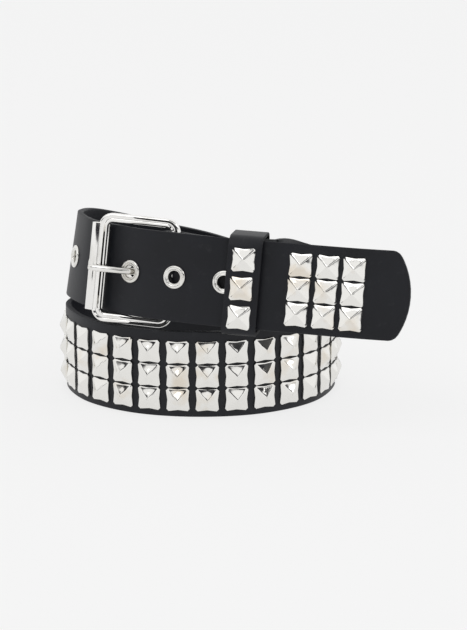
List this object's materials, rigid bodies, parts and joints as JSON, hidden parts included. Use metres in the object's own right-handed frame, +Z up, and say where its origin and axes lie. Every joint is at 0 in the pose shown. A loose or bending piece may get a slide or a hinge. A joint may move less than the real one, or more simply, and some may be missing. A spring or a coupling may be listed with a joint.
{
  "type": "studded belt",
  "caption": "Buckled belt wound into a standing coil: dark leather strap with pyramid studs, eyelets, roller buckle and a studded keeper.",
  "frame": {"origin": "on the ground, under the middle of the belt's box", "axes": "+X to the right along the strap's free end, +Y to the back of the coil, +Z up"},
  "size_m": [0.1772, 0.1586, 0.0995],
  "materials": {
    "strap_leather": "smooth",
    "keeper_leather": "smooth",
    "studs": "polished nickel",
    "eyelets": "polished nickel",
    "buckle": "polished nickel"
  },
  "bodies": {
    "root": {"strap": "strap_leather", "tip_stud_1_1": "studs", "tip_stud_1_2": "studs", "tip_stud_1_3": "studs", "tip_stud_2_1": "studs", "tip_stud_2_2": "studs", "tip_stud_2_3": "studs", "tip_stud_3_1": "studs", "tip_stud_3_2": "studs", "tip_stud_3_3": "studs", "keeper_stud_1": "studs", "keeper_stud_2": "studs", "keeper_stud_3": "studs", "eyelet_1": "eyelets", "eyelet_2": "eyelets", "eyelet_3": "eyelets", "eyelet_4": "eyelets", "eyelet_5": "eyelets", "keeper": "keeper_leather", "buckle_frame": "buckle", "buckle_roller": "buckle", "buckle_prong": "buckle"}
  },
  "joints": []
}
